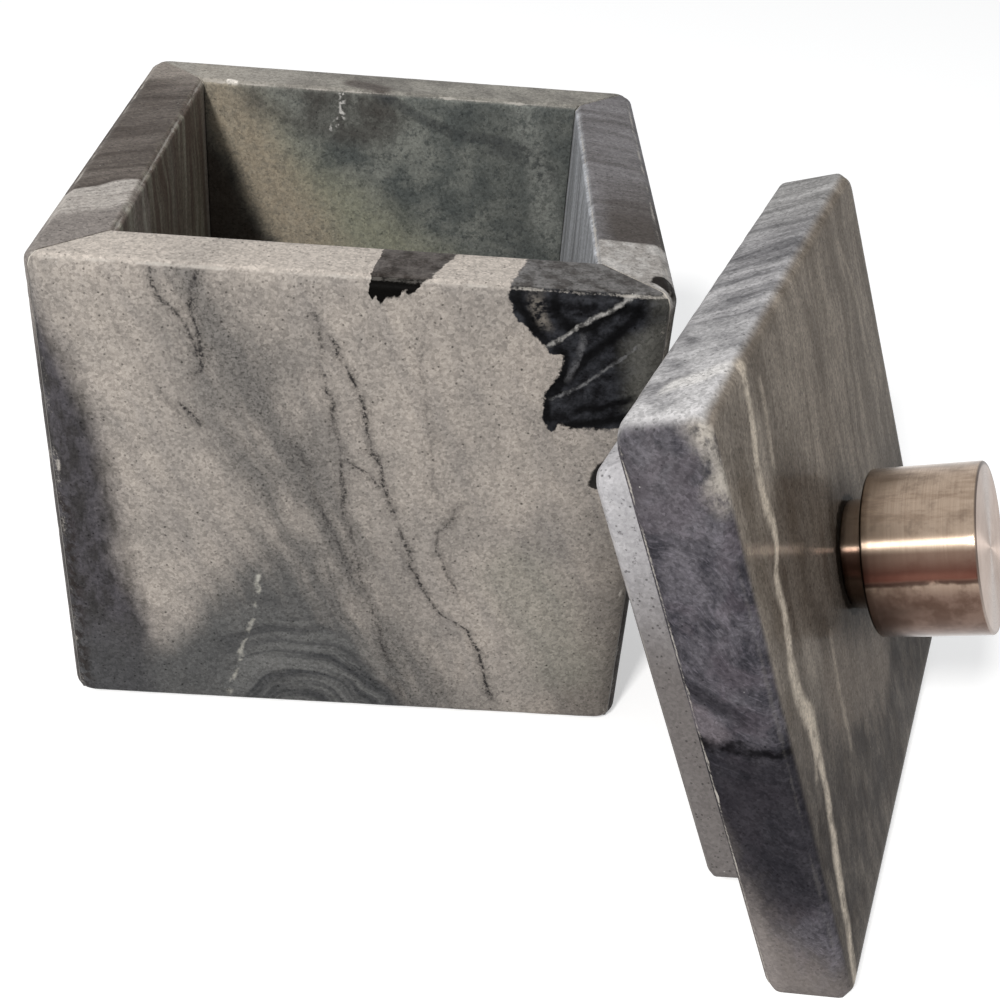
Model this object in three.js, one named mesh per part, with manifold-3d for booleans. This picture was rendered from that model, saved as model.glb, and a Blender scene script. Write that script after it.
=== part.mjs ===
// A square marble canister with its lid lifted off and leaned on one of the canister's corners.
// Millimetres, +Z up. The origin is the middle of the canister's underside, and -Y is its front.
import * as THREE from "three";
import { mergeVertices, toCreasedNormals } from "three/addons/utils/BufferGeometryUtils.js";
import Module from "manifold-3d";

// Canister: four mitred wall slabs round a floor slab
const bodyWidth = 102;
const bodyHeight = 89;
const wallThickness = 12.5;
const floorThickness = 12.5;
const cornerRadius = 4; // the four upright corners
const bodyEase = 2.2; // outer edge of the rim and of the underside
const mouthEase = 1.2; // inner edge of the rim
const glueLine = 0.3; // between two slabs that are glued together

// Lid: a square slab with a smaller slab under it that drops into the mouth
const lidMargin = 0.75; // how far the lid's edge stops inside the walls' faces
const lidThickness = 13;
const lidCornerRadius = 4.5;
const lidEase = 2;
const plugClearance = 0.5; // between the plug and each wall when the lid is on
const plugHeight = 10;
const plugCornerRadius = 3;
const plugEase = 1.2;

// Knob: turned from one bar, with a narrower neck that stands on the lid
const knobDiameter = 27.5;
const knobHeadLength = 17.4;
const knobEdge = 0.4;
const neckDiameter = 18;
const neckLength = 4.5;
const neckFillet = 0.6;
const knobSeat = 0.3; // the knob's foot stands this far off the lid

// Screw that holds the knob from under the lid, with its washer
const screwDiameter = 5;
const screwEngagement = 12; // length inside the knob
const tappedDepthSpare = 2; // the tapped hole goes this much deeper than the screw
const threadClearance = 0.15; // between the screw and the tapped hole, all round
const shankClearance = 0.5; // between the screw and the stone, all round
const screwHeadDiameter = 9.5;
const screwHeadHeight = 3.2;
const screwSlotWidth = 1.2;
const screwSlotDepth = 1.4;
const washerDiameter = 12;
const washerThickness = 1;
const washerClearance = 0.3; // between the screw and the washer, all round
const recessClearance = 1; // between the washer and the wall of its recess
const recessDepth = 5.2;
const seatGap = 0.2; // between the screw's head, its washer and the floor of the recess

// How the lid stands beside the canister
const lidTurn = THREE.MathUtils.degToRad(21.8); // from facing squarely to the right
const lidLean = THREE.MathUtils.degToRad(22.2); // from upright, back towards the canister
const lidShift = -26.8; // middle of the lid's lower edge, along that edge, from the canister's centre
const leanGap = 0.3; // between the lid and the corner that it leans on

// Smoothness, and how far a cutter runs past what it cuts
const cornerSteps = 6;
const easeSteps = 4;
const turnedSteps = 64;
const overrun = 5;
const quarter = Math.PI / 2;
const creaseAngle = quarter / 3;

const mouthHalf = bodyWidth / 2 - wallThickness;
const lidWidth = bodyWidth - 2 * lidMargin;
const plugWidth = 2 * (mouthHalf - plugClearance);

// The eased lower edge of the leaning lid comes down to the table.
const footDrop = lidEase * (Math.cos(lidLean) + Math.sin(lidLean) - 1);

const wasm = await Module();
wasm.setup();

// Points of a square with rounded corners, counter-clockwise from the right-hand side.
function roundedSquare(half, radius, steps) {
  const points = [];
  for (let corner = 0; corner < 4; corner++) {
    const start = corner * quarter;
    const centreX = Math.sign(Math.cos(start + quarter / 2)) * (half - radius);
    const centreY = Math.sign(Math.sin(start + quarter / 2)) * (half - radius);
    for (let step = 0; step <= steps; step++) {
      const angle = start + quarter * (steps ? step / steps : 1 / 2);
      points.push([centreX + radius * Math.cos(angle), centreY + radius * Math.sin(angle)]);
    }
  }
  return points;
}

// Closed body through rounded squares, one at each level from the lowest to the highest.
function stackedSquares(levels, steps) {
  const positions = [];
  const faces = [];
  const rings = levels.map(({ z, half, radius }) => {
    const first = positions.length / 3;
    const outline = roundedSquare(half, radius, steps);
    outline.forEach(([x, y]) => positions.push(x, y, z));
    return first;
  });
  const count = 4 * (steps + 1);
  for (let level = 1; level < rings.length; level++) {
    for (let point = 0; point < count; point++) {
      const next = (point + 1) % count;
      const low = rings[level - 1];
      const high = rings[level];
      faces.push(low + point, low + next, high + next, low + point, high + next, high + point);
    }
  }
  const bottomCentre = positions.length / 3;
  positions.push(0, 0, levels[0].z, 0, 0, levels.at(-1).z);
  const topCentre = bottomCentre + 1;
  for (let point = 0; point < count; point++) {
    const next = (point + 1) % count;
    faces.push(bottomCentre, rings[0] + next, rings[0] + point);
    faces.push(topCentre, rings.at(-1) + point, rings.at(-1) + next);
  }
  const geometry = new THREE.BufferGeometry();
  geometry.setAttribute("position", new THREE.Float32BufferAttribute(positions, 3));
  geometry.setIndex(faces);
  return geometry;
}

// A quarter-round edge as [inset, rise] pairs, from the flat face to the side.
function easeCurve(ease) {
  if (!ease) return [[0, 0]];
  return Array.from({ length: easeSteps + 1 }, (_, step) => {
    const angle = (quarter * step) / easeSteps;
    return [ease * (1 - Math.sin(angle)), ease * (1 - Math.cos(angle))];
  });
}

// A slab lying flat on z = bottom, with its upright corners rounded and its flat faces' edges eased.
function easedSlab(width, thickness, radius, { bottom = 0, lowerEase = 0, upperEase = 0 }) {
  const level = (inset, z) => ({ z, half: width / 2 - inset, radius: radius - inset });
  const lower = easeCurve(lowerEase).map(([inset, rise]) => level(inset, bottom + rise));
  const upper = easeCurve(upperEase).map(([inset, rise]) => level(inset, bottom + thickness - rise));
  return stackedSquares([...lower, ...upper.reverse()], cornerSteps);
}

// A closed mesh as a solid that can be cut, and back.
function toSolid(geometry) {
  const bare = geometry.clone();
  bare.deleteAttribute("normal");
  bare.deleteAttribute("uv");
  const merged = mergeVertices(bare);
  return new wasm.Manifold(
    new wasm.Mesh({
      numProp: 3,
      vertProperties: new Float32Array(merged.attributes.position.array),
      triVerts: new Uint32Array(merged.index.array),
    }),
  );
}

function toGeometry(solid) {
  const { vertProperties, triVerts } = solid.getMesh();
  const geometry = new THREE.BufferGeometry();
  geometry.setAttribute("position", new THREE.BufferAttribute(vertProperties, 3));
  geometry.setIndex(new THREE.BufferAttribute(triVerts, 1));
  return toCreasedNormals(geometry, creaseAngle);
}

// A body turned about Z from a profile of [radius, z] pairs that starts and ends on the axis.
function turned(profile) {
  const points = profile.map(([radius, z]) => new THREE.Vector2(radius, z));
  return new THREE.LatheGeometry(points, turnedSteps).rotateX(quarter);
}

function cylinder(diameter, from, to) {
  return turned([[0, from], [diameter / 2, from], [diameter / 2, to], [0, to]]);
}

// Points of a quarter-round edge on a turned profile, about (radius, z), from one angle to another.
function roundedEdge(radius, z, size, fromAngle, toAngle) {
  return Array.from({ length: easeSteps + 1 }, (_, step) => {
    const angle = fromAngle + ((toAngle - fromAngle) * step) / easeSteps;
    return [radius + size * Math.cos(angle), z + size * Math.sin(angle)];
  });
}

const stone = (color) => new THREE.MeshStandardMaterial({ color, roughness: 0.45, metalness: 0 });
const metal = (color, roughness) => new THREE.MeshStandardMaterial({ color, roughness, metalness: 1 });

function piece(name, geometry, material) {
  const mesh = new THREE.Mesh(geometry, material);
  mesh.name = name;
  return mesh;
}

// The whole shell, before the mitres part it into four slabs.
function shell() {
  const block = easedSlab(bodyWidth, bodyHeight, cornerRadius, { lowerEase: bodyEase, upperEase: bodyEase });
  const edge = easeCurve(mouthEase).reverse();
  const mouth = stackedSquares(
    [
      { z: -overrun, half: mouthHalf, radius: 0 },
      ...edge.map(([inset, drop]) => ({ z: bodyHeight - drop, half: mouthHalf + inset, radius: 0 })),
      { z: bodyHeight + overrun, half: mouthHalf + mouthEase, radius: 0 },
    ],
    0,
  );
  return toSolid(block).subtract(toSolid(mouth));
}

// The wedge between two mitre planes, set back from both by half a glue line.
function mitreWedge(side) {
  const apex = glueLine / Math.SQRT2;
  const outline = new THREE.Shape([
    new THREE.Vector2(apex, 0),
    new THREE.Vector2(apex + bodyWidth, -bodyWidth),
    new THREE.Vector2(apex + bodyWidth, bodyWidth),
  ]);
  const wedge = new THREE.ExtrudeGeometry(outline, { depth: bodyHeight + 2 * overrun, bevelEnabled: false });
  return wedge.translate(0, 0, -overrun).rotateZ(side * quarter);
}

function canister() {
  const group = new THREE.Group();
  const whole = shell();
  const walls = [
    ["right_wall", 0x78767a],
    ["back_wall", 0x8b8c84],
    ["left_wall", 0x6c645f],
    ["front_wall", 0x9a928b],
  ];
  walls.forEach(([name, color], side) => {
    const slab = whole.intersect(toSolid(mitreWedge(side)));
    group.add(piece(name, toGeometry(slab), stone(color)));
  });
  const floorHalf = mouthHalf - glueLine;
  const floor = stackedSquares(
    [{ z: 0, half: floorHalf, radius: 0 }, { z: floorThickness, half: floorHalf, radius: 0 }],
    0,
  );
  group.add(piece("floor_slab", toGeometry(toSolid(floor)), stone(0x7d7a76)));
  return group;
}

// Heights on the lid's own axis, measured up from the underside of its slab.
const plugBottom = -plugHeight;
const recessFloor = plugBottom + recessDepth;
const knobFoot = lidThickness + knobSeat;
const screwTip = knobFoot + screwEngagement;
const holeDiameter = screwDiameter + 2 * shankClearance;

function lidSlab() {
  const slab = easedSlab(lidWidth, lidThickness, lidCornerRadius, { lowerEase: lidEase, upperEase: lidEase });
  const hole = cylinder(holeDiameter, -overrun, lidThickness + overrun);
  return piece("lid_slab", toGeometry(toSolid(slab).subtract(toSolid(hole))), stone(0x77757c));
}

function lidPlug() {
  const height = plugHeight - glueLine;
  const slab = easedSlab(plugWidth, height, plugCornerRadius, { bottom: plugBottom, lowerEase: plugEase });
  const hole = cylinder(holeDiameter, plugBottom - overrun, overrun);
  const recess = cylinder(washerDiameter + 2 * recessClearance, plugBottom - overrun, recessFloor);
  const cut = toSolid(slab).subtract(toSolid(hole)).subtract(toSolid(recess));
  return piece("lid_plug", toGeometry(cut), stone(0x9b9997));
}

function knob() {
  const neck = neckDiameter / 2;
  const head = knobDiameter / 2;
  const shoulder = lidThickness + neckLength;
  const top = shoulder + knobHeadLength;
  const fillet = roundedEdge(neck + neckFillet, shoulder - neckFillet, neckFillet, 2 * quarter, quarter);
  const profile = [
    [0, knobFoot],
    [neck, knobFoot],
    ...fillet,
    ...roundedEdge(head - knobEdge, shoulder + knobEdge, knobEdge, -quarter, 0),
    ...roundedEdge(head - knobEdge, top - knobEdge, knobEdge, 0, quarter),
    [0, top],
  ];
  const bore = cylinder(screwDiameter + 2 * threadClearance, knobFoot - overrun, screwTip + tappedDepthSpare);
  const cut = toSolid(turned(profile)).subtract(toSolid(bore));
  return piece("knob", toGeometry(cut), metal(0x9a8a7c, 0.35));
}

function screwWasher() {
  const ring = cylinder(washerDiameter, recessFloor - seatGap - washerThickness, recessFloor - seatGap);
  const hole = cylinder(screwDiameter + 2 * washerClearance, plugBottom - overrun, recessFloor + overrun);
  return piece("screw_washer", toGeometry(toSolid(ring).subtract(toSolid(hole))), metal(0xa9a9ab, 0.4));
}

// Pan head with one slot across it, and a plain shank where the thread is.
function knobScrew() {
  const shank = screwDiameter / 2;
  const head = screwHeadDiameter / 2;
  const underHead = recessFloor - 2 * seatGap - washerThickness;
  const headEdge = screwHeadHeight / 2;
  const headFace = underHead - screwHeadHeight;
  const profile = [
    [0, headFace],
    ...roundedEdge(head - headEdge, headFace + headEdge, headEdge, -quarter, 0),
    [head, underHead],
    [shank, underHead],
    [shank, screwTip - shank / 2],
    [shank / 2, screwTip],
    [0, screwTip],
  ];
  const slot = new THREE.BoxGeometry(2 * screwHeadDiameter, screwSlotWidth, 2 * screwSlotDepth);
  slot.translate(0, 0, headFace);
  const cut = toSolid(turned(profile)).subtract(toSolid(slot));
  return piece("knob_screw", toGeometry(cut), metal(0xb0aca6, 0.35));
}

// How far the leaning lid reaches back from its lower edge to what it touches: its plug's upper edge
// or, on a lower canister, the plug's face at the rim, but at least the slab's own underside there.
function leanReach() {
  const rise = Math.cos(lidLean);
  const back = Math.sin(lidLean);
  const plugEdge = (lidWidth + plugWidth) / 2 - plugEase;
  const atPlugEdge = back * plugEdge + rise * (plugHeight - plugEase) + plugEase;
  const rim = bodyHeight + footDrop;
  const atRimOnPlug = (back * (rim + back * plugHeight)) / rise + rise * plugHeight;
  const atRimOnSlab = back * Math.min(rim / rise, lidWidth);
  return Math.max(Math.min(atPlugEdge, atRimOnPlug), atRimOnSlab);
}

// The lid lies flat in its own group, knob up, with its lower edge along the group's X axis.
function lid() {
  const flat = new THREE.Group();
  flat.position.y = lidWidth / 2;
  flat.add(lidSlab(), lidPlug(), knob(), knobScrew(), screwWasher());
  const tipped = new THREE.Group();
  tipped.rotation.x = quarter - lidLean;
  tipped.add(flat);
  const standing = new THREE.Group();
  standing.rotation.z = quarter - lidTurn;
  standing.add(tipped);

  const ahead = new THREE.Vector2(Math.cos(lidTurn), -Math.sin(lidTurn));
  const along = new THREE.Vector2(Math.sin(lidTurn), Math.cos(lidTurn));
  const cornerCentre = bodyWidth / 2 - cornerRadius;
  const cornerReach = cornerCentre * (ahead.x - ahead.y) + cornerRadius;
  const foot = ahead.multiplyScalar(cornerReach + leanGap + leanReach()).addScaledVector(along, lidShift);
  standing.position.set(foot.x, foot.y, -footDrop);
  return standing;
}

const model = new THREE.Group();
model.add(canister(), lid());
export default model;
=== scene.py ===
# %% [markdown]
# # A marble canister with its lid leaned against it
# The real object is a small square box of seven slabs of grey-beige marble, with a turned metal knob
# on its loose lid. This lesson dresses the plain CAD model in stone and metal, piece by piece.
# The CAD model is loaded first and never changes: what is made here is fitted to it.

# %% Load the frame
import math

import bpy
import numpy as np
from mathutils import Matrix, Vector, noise


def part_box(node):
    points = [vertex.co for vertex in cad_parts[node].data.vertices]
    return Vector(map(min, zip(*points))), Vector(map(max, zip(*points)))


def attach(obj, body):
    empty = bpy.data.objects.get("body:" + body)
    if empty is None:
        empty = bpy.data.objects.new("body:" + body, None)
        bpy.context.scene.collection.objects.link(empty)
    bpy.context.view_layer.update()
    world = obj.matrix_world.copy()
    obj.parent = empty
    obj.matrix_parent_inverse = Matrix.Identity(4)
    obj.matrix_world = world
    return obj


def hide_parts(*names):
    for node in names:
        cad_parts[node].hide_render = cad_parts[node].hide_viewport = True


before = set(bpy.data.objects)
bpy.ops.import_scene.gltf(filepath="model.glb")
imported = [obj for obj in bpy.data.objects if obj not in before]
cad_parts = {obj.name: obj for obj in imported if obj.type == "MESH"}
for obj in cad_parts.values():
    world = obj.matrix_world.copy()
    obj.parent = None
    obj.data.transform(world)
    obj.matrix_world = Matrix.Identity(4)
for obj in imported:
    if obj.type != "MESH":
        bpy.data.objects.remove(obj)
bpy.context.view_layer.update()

MM = 0.001
print("CAD nodes:", ", ".join(sorted(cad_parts)))

# %% [markdown]
# ## Camera
# The photograph was taken by hand from above the front edge, a little rolled. A camera is three turns
# and a place. Writing the turns as yaw, pitch and roll keeps each one readable, where one matrix of
# nine numbers would hide them. The figures were found by fitting the outlines of the CAD model to
# those of the photographed object.

# %% Camera at the photograph's place
CAMERA_PLACE = Vector((16.55, -246.41, 181.42)) * MM
CAMERA_YAW, CAMERA_PITCH, CAMERA_ROLL = (math.radians(a) for a in (-2.693, 33.957, 5.021))
view = bpy.data.cameras.new("photo_camera")
view.sensor_width = 36
view.lens = 49.97
view.clip_start = 0.01
camera = bpy.data.objects.new("photo_camera", view)
bpy.context.scene.collection.objects.link(camera)
camera.matrix_world = (
    Matrix.Translation(CAMERA_PLACE)
    @ Matrix.Rotation(CAMERA_YAW, 4, "Z")
    @ Matrix.Rotation(math.pi / 2 - CAMERA_PITCH, 4, "X")
    @ Matrix.Rotation(CAMERA_ROLL, 4, "Z")
)
bpy.context.scene.camera = camera
print("The camera stands", round(CAMERA_PLACE.length, 3), "m from the middle of the underside")

# %% [markdown]
# ## Light and floor
# The shadow that the left wall throws inside the canister shows one soft lamp above and in front, on
# the left. One square lamp stands in for it: a small lamp gives that shadow a narrow soft edge, and an
# even pale world fills it. Rays that come straight from the camera, or off the metal, see the world as
# plain white.

# %% Lamp and world
bpy.context.scene.view_settings.view_transform = "Standard"
LAMP_TARGET = Vector((0.03, 0, 0.05))
LAMP_DIRECTION = Vector((-0.42, -0.95, 0.9)).normalized()
LAMP_DISTANCE, LAMP_SIZE, LAMP_POWER = 1.2, 0.15, 10.6
WORLD_STRENGTH = 0.45

lamp = bpy.data.lights.new("key_lamp", "AREA")
lamp.size = LAMP_SIZE
lamp.energy = LAMP_POWER
lamp.color = (1, 0.985, 0.965)
lamp_stand = bpy.data.objects.new("key_lamp", lamp)
bpy.context.scene.collection.objects.link(lamp_stand)
lamp_stand.location = LAMP_TARGET + LAMP_DIRECTION * LAMP_DISTANCE
lamp_stand.rotation_mode = "QUATERNION"
lamp_stand.rotation_quaternion = LAMP_DIRECTION.to_track_quat("Z", "Y")

world = bpy.data.worlds.new("pale_room")
bpy.context.scene.world = world
world.use_nodes = True
tree = world.node_tree
room = tree.nodes["Background"]
room.inputs["Color"].default_value = (0.97, 0.985, 1, 1)
room.inputs["Strength"].default_value = WORLD_STRENGTH
backdrop = tree.nodes.new("ShaderNodeBackground")
backdrop.inputs["Color"].default_value = (1, 1, 1, 1)
rays = tree.nodes.new("ShaderNodeLightPath")
direct = rays.outputs["Is Camera Ray"]
for kind in ("Is Glossy Ray", "Is Transmission Ray"):
    either = tree.nodes.new("ShaderNodeMath")
    either.operation = "MAXIMUM"
    tree.links.new(direct, either.inputs[0])
    tree.links.new(rays.outputs[kind], either.inputs[1])
    direct = either.outputs[0]
mixed = tree.nodes.new("ShaderNodeMixShader")
tree.links.new(direct, mixed.inputs["Fac"])
tree.links.new(room.outputs[0], mixed.inputs[1])
tree.links.new(backdrop.outputs[0], mixed.inputs[2])
tree.links.new(mixed.outputs[0], tree.nodes["World Output"].inputs["Surface"])
print("One lamp at", LAMP_DISTANCE, "m, and a world of strength", WORLD_STRENGTH)

# %% [markdown]
# ## Writing materials as formulas
# Marble is best made as a solid pattern: one that fills space, so that a vein on a face goes on over
# the arris and down the other side. Such a pattern is a long formula of the point's place. Nodes can
# be placed by hand, but a formula is easier to read and to change, so two small classes turn Python
# formulas into nodes. All lengths inside the formulas are millimetres.

# %% Classes that turn formulas into nodes


class Field:
    """A value that varies over a surface: a node's output that can be used in formulas."""

    def __init__(self, recipe, socket):
        self.recipe = recipe
        self.socket = socket

    def __add__(self, other):
        return self.recipe.math("ADD", self, other)

    def __sub__(self, other):
        return self.recipe.math("SUBTRACT", self, other)

    def __rsub__(self, other):
        return self.recipe.math("SUBTRACT", other, self)

    def __mul__(self, other):
        return self.recipe.math("MULTIPLY", self, other)

    def __truediv__(self, other):
        return self.recipe.math("DIVIDE", self, other)

    def __abs__(self):
        return self.recipe.math("ABSOLUTE", self)

    __radd__ = __add__
    __rmul__ = __mul__


class Recipe:
    """The nodes of one finish, which are added one formula at a time."""

    def __init__(self, name):
        self.material = bpy.data.materials.new(name)
        self.material.use_nodes = True
        self.tree = self.material.node_tree
        self.shader = self.tree.nodes["Principled BSDF"]
        self.place = self.vector("SCALE", self.node("TexCoord", out="Object"), Scale=1 / MM)
        self.x, self.y, self.z = parts(self.place)

    def feed(self, socket, value):
        if isinstance(value, Field):
            self.tree.links.new(value.socket, socket)
        else:
            socket.default_value = value

    def surface(self, inputs):
        """Sets the shader's own inputs, given by their names."""
        for name, value in inputs.items():
            self.feed(self.shader.inputs[name], value)

    def node(self, kind, out=0, inputs=None, **settings):
        made = self.tree.nodes.new("ShaderNode" + kind)
        for key, value in settings.items():
            setattr(made, key, value)
        for name, value in (inputs or {}).items():
            self.feed(made.inputs[name], value)
        return Field(self, made.outputs[out])

    def math(self, operation, first, second=0.0):
        return self.node("Math", operation=operation, inputs={0: first, 1: second})

    def vector(self, operation, *values, out=0, **named):
        """Arithmetic of places. The values go into the node in order, or by name."""
        inputs = dict(enumerate(values)) | named
        return self.node("VectorMath", operation=operation, out=out, inputs=inputs)

    def point(self, x=0.0, y=0.0, z=0.0):
        return self.node("CombineXYZ", inputs={0: x, 1: y, 2: z})

    def stretched(self, x, y, z, place=None):
        """The same place with each axis scaled, which stretches whatever pattern is read there."""
        return self.vector("MULTIPLY", place or self.place, (x, y, z))

    def noise(self, size, detail=2.0, roughness=0.5, place=None, out=0):
        """Soft clouds about size millimetres across, from 0 to 1."""
        inputs = {"Vector": place or self.place, "Scale": 1 / size}
        inputs |= {"Detail": detail, "Roughness": roughness}
        return self.node("TexNoise", out=out, inputs=inputs)

    def streaks(self, detail, roughness, x, y, z):
        """Noise read at a place of its own: each axis divided by how far the streaks run along it."""
        return self.noise(1.0, detail, roughness, place=self.point(x, y, z))

    def cells(self, size, out="Color"):
        """Grains about size millimetres across, each with its own colour."""
        return self.node("TexVoronoi", out=out, inputs={"Vector": self.place, "Scale": 1 / size})

    def bump(self, strength, depth, height):
        """Fine relief, depth millimetres deep."""
        return self.node("Bump", inputs={"Strength": strength, "Distance": depth * MM, "Height": height})


# %% [markdown]
# Most formulas are made of a few steps. The first is a smooth rise: 0 up to one threshold, 1 beyond
# the next, and a soft edge between them. Nearly every edge in the stone is a rise of some distance.

# %% Functions for the formulas


def rise(value, start, end, low=0.0, high=1.0):
    """Goes smoothly from low to high as value goes from start to end."""
    inputs = {0: value, 1: start, 2: end, 3: low, 4: high}
    return value.recipe.node("MapRange", interpolation_type="SMOOTHSTEP", inputs=inputs)


def least(first, second):
    return first.recipe.math("MINIMUM", first, second)


def most(first, second):
    return first.recipe.math("MAXIMUM", first, second)


def parts(place):
    """The three numbers x, y and z of a place."""
    split = place.recipe.node("SeparateXYZ", inputs={"Vector": place}).socket.node
    return [Field(place.recipe, split.outputs[axis]) for axis in range(3)]


def length(place):
    return place.recipe.vector("LENGTH", place, out="Value")


def wobble(place, size, amount):
    """Moves the place about, by up to half of amount, so that straight lines turn wavy."""
    swing = place.recipe.noise(size, 2, place=place, out="Color")
    swing = place.recipe.vector("SUBTRACT", swing, (0.5, 0.5, 0.5))
    return place.recipe.vector("MULTIPLY_ADD", swing, (amount,) * 3, place)


# %% [markdown]
# Some lines in the stone are traced from the photograph. A curve node turns a row of traced points
# into a smooth line, and a vein is the distance to that line, thresholded. A stroke is made of
# straight pieces, and is the distance to the nearest of them.

# %% Traced lines


def path(along, points):
    """A traced line: the reach at each place along, read off the points (along, reach)."""
    spots = sorted(points)
    low, high = spots[0][0], spots[-1][0]
    near, far = min(r for _, r in spots), max(r for _, r in spots)
    share = along.recipe.node("MapRange", inputs={0: along, 1: low, 2: high})
    made = along.recipe.node("FloatCurve", inputs={"Value": share})
    mapping = made.socket.node.mapping
    curve = mapping.curves[0].points
    marks = [((a - low) / (high - low), (r - near) / (far - near)) for a, r in spots]
    curve[0].location, curve[1].location = marks[0], marks[-1]
    for mark in marks[1:-1]:
        curve.new(*mark)
    for handle in curve:
        handle.handle_type = "AUTO_CLAMPED"
    mapping.update()
    return along.recipe.node("Math", operation="MULTIPLY_ADD", inputs={0: made, 1: far - near, 2: near})


def vein(along, across, points, half_width, soft=0.4):
    """1 on a traced vein and 0 beyond its edges and its ends."""
    gap = abs(across - path(along, points))
    start, end = min(p[0] for p in points), max(p[0] for p in points)
    ends = rise(along, start - 1.2, start + 1.2) * rise(along, end + 1.2, end - 1.2)
    return rise(gap, half_width + soft, half_width * 0.3) * ends


def reach(place, start, end):
    """Distance from the straight line between two points (x, z)."""
    run = Vector((end[0] - start[0], 0, end[1] - start[1]))
    away = place.recipe.vector("SUBTRACT", place, (start[0], 0, start[1]))
    share = place.recipe.vector("DOT_PRODUCT", away, run / run.length_squared, out="Value")
    share = place.recipe.node("Clamp", inputs={0: share})
    spot = place.recipe.vector("SCALE", run, Scale=share)
    return length(place.recipe.vector("SUBTRACT", away, spot))


def flattened(place):
    """The place without its y, for patterns that are traced on a face that looks along y."""
    return place.recipe.stretched(1.0, 0.0, 1.0, place)


def strokes(place, points):
    """Distance from a line through several points (x, z)."""
    gap = None
    place = flattened(place)
    for start, end in zip(points, points[1:]):
        part = reach(place, start, end)
        gap = part if gap is None else least(gap, part)
    return gap


# %% [markdown]
# Colours are written as they are read on a screen, and turned into the light that Blender works with.
# Laying one over another under a mask builds the stone up in thin coats, as a painter would.

# %% Colours


def tone(red, green, blue):
    """A colour given as on a screen, from 0 to 255, as the light that Blender works with."""
    screen = np.array([red, green, blue]) / 255
    light = np.where(screen <= 0.04045, screen / 12.92, ((screen + 0.055) / 1.055) ** 2.4)
    return (*map(float, light), 1.0)


def lay(under, over, mask):
    """Lays one colour over another where the mask is 1. Plain colours are given as on a screen."""
    under, over = (tone(*c) if isinstance(c, tuple) else c for c in (under, over))
    return mask.recipe.node("Mix", out=2, data_type="RGBA", inputs={0: mask, 6: under, 7: over})


print("Mid grey 128 is", round(tone(128, 128, 128)[0], 3), "of full light")

# %% [markdown]
# ## Floor
# The object stands on a plain white surface. A white floor that only reflects would turn grey, and one
# that only glows would lose the shadow, so this one does both: the glow lifts the lit part to white,
# and the reflecting part goes on showing where the canister stands in the light's way.

# %% Floor
bpy.ops.mesh.primitive_plane_add(size=6, location=(0, 0, 0))
floor = bpy.context.object
floor.name = "white_floor"
paper = Recipe("white_paper")
paper.surface({"Base Color": (0.8, 0.8, 0.8, 1), "Roughness": 0.9, "Specular IOR Level": 0.0})
watched = paper.node("LightPath", out="Is Camera Ray")
mirrored = paper.node("LightPath", out="Is Glossy Ray")
glow = paper.node("Emission", inputs={"Strength": 0.47 * most(watched, mirrored)})
both = paper.node("AddShader", inputs={0: Field(paper, paper.shader.outputs[0]), 1: glow})
paper.tree.links.new(both.socket, paper.tree.nodes["Material Output"].inputs["Surface"])
floor.data.materials.append(paper.material)
print("White floor,", round(floor.dimensions.x, 1), "m across")

# %% [markdown]
# ## Meshes from rings
# Sawn and polished stone has flat faces, and edges that a worker has eased by hand, so they wander a
# little and carry small chips. A bevel modifier gives edges that are too even. Here each slab is a
# skin drawn through many rings of points, with rings and points close together, and every point on an
# eased edge is pushed a little into the stone by noise.

# %% Skin through rings of points
CHIP_SIZE = 5.0


def skin(name, rings, wear=None, looped=False, sharp=40):
    """A closed mesh through rings of points, given in mm as an array (ring, point, xyz).

    The first and the last ring are filled in, or joined to each other when looped."""
    rings = np.asarray(rings, float)
    count, size = rings.shape[:2]
    index = np.arange(count * size).reshape(count, size)
    low, high = (index, np.roll(index, -1, 0)) if looped else (index[:-1], index[1:])
    quads = np.stack([low, np.roll(low, -1, 1), np.roll(high, -1, 1), high], -1).reshape(-1, 4)
    faces = quads.tolist()
    if not looped:
        faces += [index[0][::-1].tolist(), index[-1].tolist()]
    mesh = bpy.data.meshes.new(name)
    mesh.from_pydata((rings.reshape(-1, 3) * MM).tolist(), [], faces)
    if wear is not None:
        mark = mesh.attributes.new("wear", "FLOAT", "POINT")
        mark.data.foreach_set("value", np.asarray(wear, np.float32).ravel())
    mesh.polygons.foreach_set("use_smooth", [True] * len(mesh.polygons))
    mesh.set_sharp_from_angle(angle=math.radians(sharp))
    mesh.update()
    made = bpy.data.objects.new(name, mesh)
    bpy.context.scene.collection.objects.link(made)
    return made


def rounded(start, centre, radius, steps, turn=-90):
    """Points of a quarter circle about centre, from the angle start, given in degrees."""
    angles = np.radians(np.linspace(start, start + turn, steps + 1))
    return [(centre[0] + radius * math.cos(a), centre[1] + radius * math.sin(a)) for a in angles]


def spaced(start, end, step):
    """Points from start to end, about step apart, without the end."""
    start, end = np.array(start, float), np.array(end, float)
    count = max(1, round(float(np.linalg.norm(end - start)) / step))
    return [tuple(start + (end - start) * k / count) for k in range(count)]


def chips(points, seed):
    """From 0 to 1 for each point: how much of the edge is worn or chipped away there."""
    out = []
    for p in points:
        spot = Vector(p) / CHIP_SIZE + Vector((seed, 0, 0))
        broad = noise.noise(spot) * 0.5 + 0.5
        nick = max(0.0, noise.noise(spot * 3.4) - 0.36) * 1.2
        out.append(min(1.0, 0.3 + 0.45 * broad + nick))
    return np.array(out)


# %% [markdown]
# ## The four walls
# Each wall is a slab of half-inch marble, cut at 45 degrees where it meets the next. Its section is a
# tall rectangle with a broad eased edge outside and a finer one at the mouth. The section is swept
# from mitre to mitre, and near each end its outer side turns the corner with the rounded upright edge.

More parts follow.
